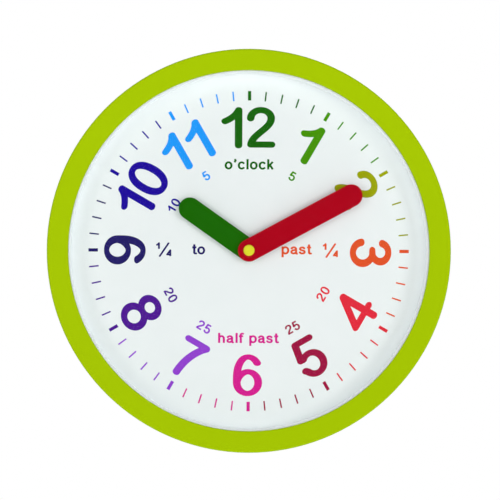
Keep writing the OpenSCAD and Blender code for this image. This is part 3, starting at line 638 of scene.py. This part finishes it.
# Small letters, in millimetres from their left edge and the base line.
letterPaths = {
    "o": [arcPath(2.53, 2.53, 1.87, 2.07, 0, 360)],
    "c": [arcPath(2.53, 2.53, 1.87, 2.07, 42, 318)],
    "l": [[(0.66, 0), (0.66, 6.75)]],
    "k": [[(0.66, 0), (0.66, 6.75)], [(0.8, 1.9), (3.6, 5.0)], [(1.8, 2.9), (3.65, 0.05)]],
    "'": [[(0.0, 6.2), (1.35, 6.2)], [(0.85, 6.2), (0.85, 5.6), (0.2, 4.6)]],
    "p": [[(0.66, -2.0), (0.66, 5.05)], arcPath(2.5, 2.53, 1.84, 2.07, 150, -150)],
    "a": [arcPath(2.2, 3.35, 1.5, 1.2, 165, 0) + [(3.7, 1.1)]
          + bendPath((3.7, 1.1), (3.7, 0.6), (3.9, 0.45), (4.4, 0.3)),
          bendPath((3.7, 3.1), (2.9, 2.6), (0.68, 2.9), (0.68, 1.5))
          + bendPath((0.68, 1.5), (0.68, 0.15), (3.4, 0.2), (3.7, 1.8))],
    "s": [bendPath((3.65, 3.65), (3.3, 4.85), (0.85, 4.75), (0.85, 3.55))
          + bendPath((0.85, 3.55), (0.85, 2.25), (3.75, 2.95), (3.75, 1.5))
          + bendPath((3.75, 1.5), (3.75, 0.2), (0.8, 0.2), (0.6, 1.55))],
    "t": [[(1.45, 6.5), (1.45, 1.5)] + bendPath((1.45, 1.5), (1.45, 0.4), (2.0, 0.5), (2.9, 0.55)),
          [(0.1, 4.5), (2.85, 4.5)]],
    "h": [[(0.66, 0), (0.66, 6.75)],
          bendPath((0.66, 3.0), (0.8, 5.0), (3.75, 5.2), (3.83, 2.9)) + [(3.83, 0)]],
    "f": [[(1.3, 0), (1.3, 4.9)] + bendPath((1.3, 4.9), (1.3, 6.4), (1.9, 6.35), (3.05, 6.2)),
          [(0.1, 4.5), (2.95, 4.5)]],
}


# How far each point of a grid is from the strokes, in nibs and less than 0 within the ink.
def nibField(paths, nib, step, flatEnds):
    points = np.array([p for path in paths for p in path])
    low = points.min(0) - 2 * np.array(nib) - step
    high = points.max(0) + 2 * np.array(nib) + step
    xs = np.arange(low[0], high[0] + step, step)
    ys = np.arange(low[1], high[1] + step, step)
    gridX, gridY = np.meshgrid(xs / nib[0], ys / nib[1])
    field = np.full(gridX.shape, pen["far"])
    for path in paths:
        line = np.array(path) / np.array(nib)
        for index in range(len(line) - 1):
            a, b = line[index], line[index + 1]
            run = np.hypot(*(b - a))
            if run < pen["hair"]:
                continue
            way = (b - a) / run
            along = (gridX - a[0]) * way[0] + (gridY - a[1]) * way[1]
            across = (gridX - a[0]) * -way[1] + (gridY - a[1]) * way[0]
            past = np.maximum(np.maximum(-along, along - run), 0)
            reach = np.hypot(past, across) - 1
            closed = np.allclose(line[0], line[-1])
            if flatEnds and not closed:
                if index == 0:
                    reach = np.maximum(reach, -along)
                if index == len(line) - 2:
                    reach = np.maximum(reach, along - run)
            field = np.minimum(field, reach)
    return field, low, step


# Cells of the field that the edge runs through, and the sides it enters and leaves by.
cellTurns = {1: "lb", 2: "br", 3: "lr", 4: "rt", 5: "ltrb", 6: "bt", 7: "lt", 8: "tl", 9: "tb",
             10: "bltr", 11: "tr", 12: "rl", 13: "rb", 14: "bl"}


def edgeLoops(field, low, step):
    inside = (field < 0).astype(int)
    code = inside[:-1, :-1] + 2 * inside[:-1, 1:] + 4 * inside[1:, 1:] + 8 * inside[1:, :-1]
    following = {}
    for j, i in zip(*np.nonzero((code > 0) & (code < 15))):
        sides = {"b": (0, j, i), "t": (0, j + 1, i), "l": (1, j, i), "r": (1, j, i + 1)}
        turns = cellTurns[code[j, i]]
        for k in range(0, len(turns), 2):
            following[sides[turns[k]]] = sides[turns[k + 1]]
    loops = []
    while following:
        here = next(iter(following))
        loop = []
        while here in following:
            upright, j, i = here
            other = field[j + 1, i] if upright else field[j, i + 1]
            part = field[j, i] / (field[j, i] - other)
            x, y = (i, j + part) if upright else (i + part, j)
            loop.append((low[0] + x * step, low[1] + y * step))
            here = following.pop(here)
        loops.append(thinLoop(loop, step * pen["slack"]))
    return loops


def thinLoop(loop, slack):
    # drops the points that lie within "slack" of a straight run
    points = np.array(loop)
    far = int(np.argmax(np.hypot(*(points - points[0]).T)))
    keep = {0, far}
    spans = [(0, far), (far, len(points))]
    closed = np.vstack([points, points[:1]])
    while spans:
        a, b = spans.pop()
        if b - a < 2:
            continue
        run = closed[b] - closed[a]
        size = np.hypot(*run) or pen["hair"]
        off = np.abs((closed[a + 1:b] - closed[a]) @ np.array([-run[1], run[0]])) / size
        worst = int(np.argmax(off))
        if off[worst] > slack:
            middle = a + 1 + worst
            keep.add(middle)
            spans += [(a, middle), (middle, b)]
    return [tuple(points[k]) for k in sorted(keep)]


def movedPath(path, scale, dx, dy):
    return [(x * scale + dx, y * scale + dy) for x, y in path]


def turnedLoops(loops, angle, dx, dy):
    c, s = math.cos(math.radians(angle)), math.sin(math.radians(angle))
    return [[(x * c + y * s + dx, y * c - x * s + dy) for x, y in loop] for loop in loops]


hourAngle = 30  # degrees on the dial
minuteAngle = 6
# Hours: ink, where each digit's middle stands across, and how far the number
# is shifted from its place.
hourPrint = {
    12: {"ink": "#136107", "across": [-7.1, 7.7], "shift": (0, -0.05)},
    1: {"ink": "#439200", "across": [1.6], "shift": (0.05, -0.1)},
    2: {"ink": "#9BA500", "across": [0.15], "shift": (0, 1.2)},
    3: {"ink": "#E55124", "across": [0.9], "shift": (0.1, -1)},
    4: {"ink": "#E6283A", "across": [0.1], "shift": (0.05, 0.5)},
    5: {"ink": "#9E123E", "across": [-0.5], "shift": (0.6, 0.55)},
    6: {"ink": "#D91C90", "across": [-0.85], "shift": (0.35, -0.6), "nib": (2.55, 1.75)},
    7: {"ink": "#9340D2", "across": [1.0], "shift": (0.75, 0.1)},
    8: {"ink": "#4C1692", "across": [-0.5], "shift": (0.7, -0.25)},
    9: {"ink": "#201963", "across": [0.6], "shift": (-0.5, 0.35), "nib": (2.55, 1.75)},
    10: {"ink": "#1A069A", "across": [-7.0, 7.65], "shift": (-0.05, 0.05)},
    11: {"ink": "#1E9AFF", "across": [-6.2, 11.2], "shift": (-0.2, -1.75)},
}
numeralStyle = {"radius": 80.8, "nib": (2.48, 2.03), "step": 0.14,
                "turned": (4, 5, 6, 7, 8)}  # these have their tops to the centre
# Minutes past and to the hour, beside the hours that they go with.
minutePrint = {
    1: {"digits": "5", "shift": (0.1, -0.75)}, 11: {"digits": "5", "shift": (0.05, -0.8)},
    2: {"digits": "10", "shift": (0, 0)}, 10: {"digits": "10", "shift": (0.6, 0)},
    4: {"digits": "20", "shift": (0.1, 1.1)}, 8: {"digits": "20", "shift": (-0.1, -1.4)},
    5: {"digits": "25", "shift": (-0.1, -0.55)}, 7: {"digits": "25", "shift": (-0.05, -0.55)},
}
minuteStyle = {"radius": 57.3, "scale": 0.228, "pitch": 5.05, "oneNudge": 0.6,
               "nib": (0.6, 0.52), "step": 0.05}
# Teaching words: left end and base line on the dial, and each letter's start.
wordPrint = {
    12: {"text": "o'clock", "at": (-16.1, 53.35), "starts": [0, 6.2, 8.6, 14.3, 16.5, 22.3, 27.9]},
    3: {"text": "past", "at": (21.45, -2.2), "starts": [0, 5.8, 11.3, 16.5]},
    9: {"text": "to", "at": (-37.2, -2.5), "starts": [0, 3.5]},
    6: {"text": "halfpast", "at": (-19.8, -60.35), "scale": 0.97,
        "starts": [0, 5.5, 11.4, 13.5, 20.4, 26.0, 31.4, 36.5]},
}
wordStyle = {"nib": (0.71, 0.6), "step": 0.05}
# Quarter signs, by the middle of the stroke between the two figures.
quarterPrint = {3: (53.7, 0.35), 9: (-55.45, 0.4)}
quarterStyle = {"nib": (0.62, 0.54), "step": 0.05, "figure": 0.165,
                "one": (-3.4, 2.4), "four": (3.3, -2.3), "bar": [(-3.1, -4.6), (3.1, 4.6)]}
tickStyle = {"outer": 104.9, "length": 6.2, "hourWide": 2.15, "minuteWide": 0.95}
printThick = 0.03


def hourTurn(hour):
    angle = hour % 12 * hourAngle
    return angle - 180 if hour in numeralStyle["turned"] else angle


def hourSpot(hour, radius, shift):
    place, turn = math.radians(hour * hourAngle), math.radians(hourTurn(hour))
    x = radius * math.sin(place) + shift[0] * math.cos(turn) + shift[1] * math.sin(turn)
    y = radius * math.cos(place) - shift[0] * math.sin(turn) + shift[1] * math.cos(turn)
    return x, y


def tickLoops(hour):
    loops = []
    for minute in range(hourAngle // minuteAngle):
        half = (tickStyle["hourWide"] if minute == 0 else tickStyle["minuteWide"]) / 2
        low, high = tickStyle["outer"] - tickStyle["length"], tickStyle["outer"]
        bar = [(-half, low), (half, low), (half, high), (-half, high)]
        loops += turnedLoops([bar], hour * hourAngle + minute * minuteAngle, 0, 0)
    return loops


def numeralLoops(hour):
    entry = hourPrint[hour]
    paths = []
    for digit, across in zip(str(hour), entry["across"]):
        paths += [movedPath(p, 1, across, 0) for p in digitPaths[digit]]
    field = nibField(paths, entry.get("nib", numeralStyle["nib"]), numeralStyle["step"], False)
    spot = hourSpot(hour, numeralStyle["radius"], entry["shift"])
    return turnedLoops(edgeLoops(*field), hourTurn(hour), *spot)


def minuteLoops(hour):
    entry = minutePrint[hour]
    start = -(len(entry["digits"]) - 1) * minuteStyle["pitch"] / 2
    paths = []
    for index, digit in enumerate(entry["digits"]):
        nudge = minuteStyle["oneNudge"] if digit == "1" else 0
        across = start + nudge + index * minuteStyle["pitch"]
        paths += [movedPath(p, minuteStyle["scale"], across, 0) for p in digitPaths[digit]]
    field = nibField(paths, minuteStyle["nib"], minuteStyle["step"], True)
    spot = hourSpot(hour, minuteStyle["radius"], entry["shift"])
    return turnedLoops(edgeLoops(*field), hourTurn(hour), *spot)


def wordLoops(hour):
    word = wordPrint[hour]
    left, base = word["at"]
    paths = []
    for letter, start in zip(word["text"], word["starts"]):
        paths += [movedPath(p, word.get("scale", 1), left + start, base) for p in letterPaths[letter]]
    return edgeLoops(*nibField(paths, wordStyle["nib"], wordStyle["step"], True))


def quarterLoops(hour):
    x, y = quarterPrint[hour]
    paths = [movedPath(quarterStyle["bar"], 1, x, y)]
    for digit, key in (("1", "one"), ("4", "four")):
        dx, dy = quarterStyle[key]
        paths += [movedPath(p, quarterStyle["figure"], x + dx, y + dy) for p in digitPaths[digit]]
    return edgeLoops(*nibField(paths, quarterStyle["nib"], quarterStyle["step"], True))


def hourLoops(hour):
    loops = tickLoops(hour) + numeralLoops(hour)
    if hour in minutePrint:
        loops += minuteLoops(hour)
    if hour in wordPrint:
        loops += wordLoops(hour)
    if hour in quarterPrint:
        loops += quarterLoops(hour)
    return loops


# Screen ink: flat and opaque, a shade thinner here and there where the mesh let less through.
inkLook = {
    "thinning": 0.05,
    "drift": 6, "grain": 0.5, "gloss": (0.55, 0.68), "depth": 0.006, "relief": 0.15,
    "skin": {"IOR": 1.48, "Specular IOR Level": 0.025},
}


def thinned(hexColour, share):
    parts = [int(hexColour[i:i + 2], 16) for i in (1, 3, 5)]
    return "#" + "".join("%02X" % round(c + (255 - c) * share) for c in parts)


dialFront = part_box("dial")[0].y
for hour, entry in hourPrint.items():
    look = {**inkLook, "name": "screen_ink_hour_%02d" % hour, "colour": entry["ink"],
            "shade": thinned(entry["ink"], inkLook["thinning"])}
    mesh = filledMesh("print_hour_%02d" % hour, hourLoops(hour), printThick)
    piece = standUp("print_hour_%02d" % hour, mesh, dialFront, surfaceFinish(look))
    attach(piece, "case")
print("dial printed")
